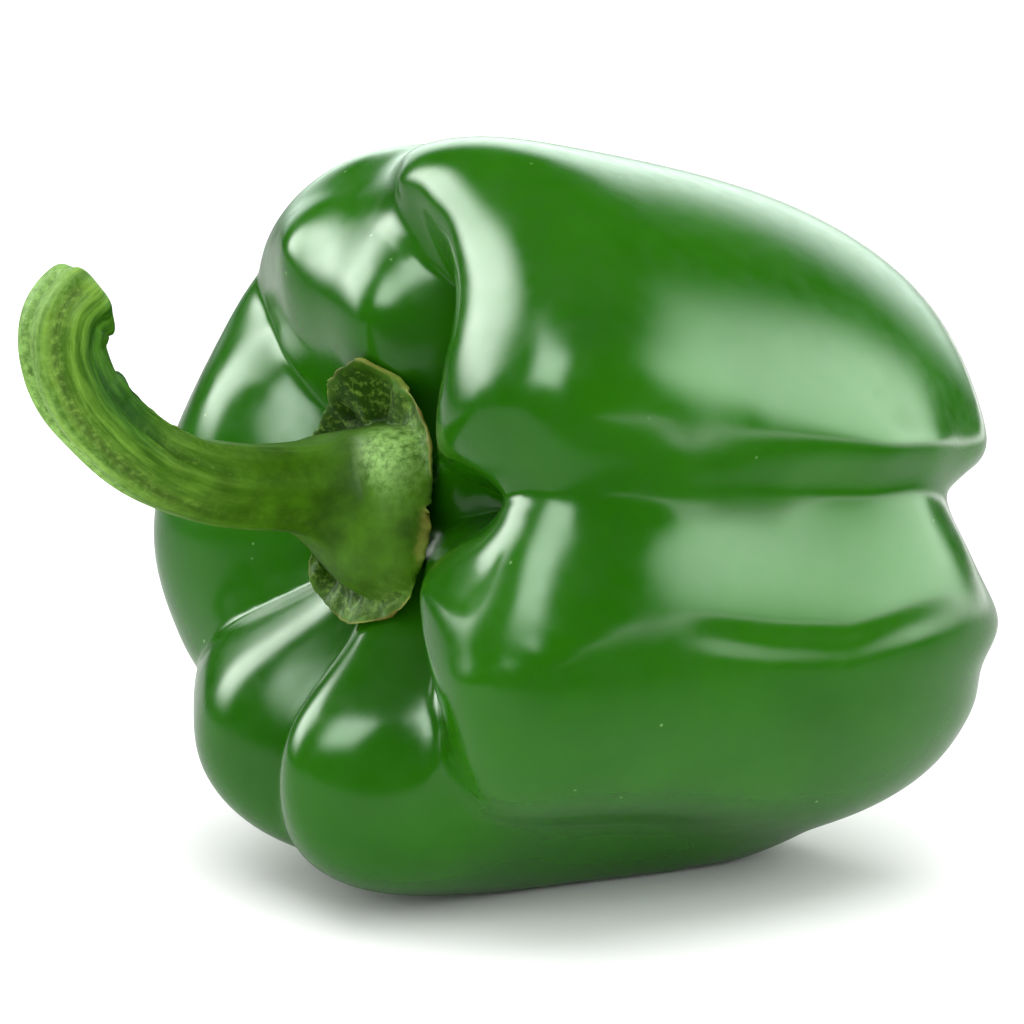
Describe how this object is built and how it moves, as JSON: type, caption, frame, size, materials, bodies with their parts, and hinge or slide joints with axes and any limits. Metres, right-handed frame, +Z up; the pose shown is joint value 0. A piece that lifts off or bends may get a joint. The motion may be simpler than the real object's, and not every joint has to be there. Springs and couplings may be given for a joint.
{
  "type": "bell pepper",
  "caption": "Green bell pepper lying on its side, a lobed glossy fruit with a sunken stem end, a seated calyx and a thick ribbed stem that curves up to a cut end.",
  "frame": {"origin": "middle of the bounding box of the lying pepper, at the surface it rests on", "axes": "+Z up, -X the way the stem points, +X towards the blossom end, -Y the side that faces the viewer"},
  "size_m": [0.1094, 0.0836, 0.0823],
  "materials": {
    "skin": "smooth waxy green skin, glossy",
    "stem": "fibrous green stem flesh, satin to dull"
  },
  "bodies": {
    "root": {"fruit": "skin", "calyx_and_stem": "stem"}
  },
  "joints": []
}
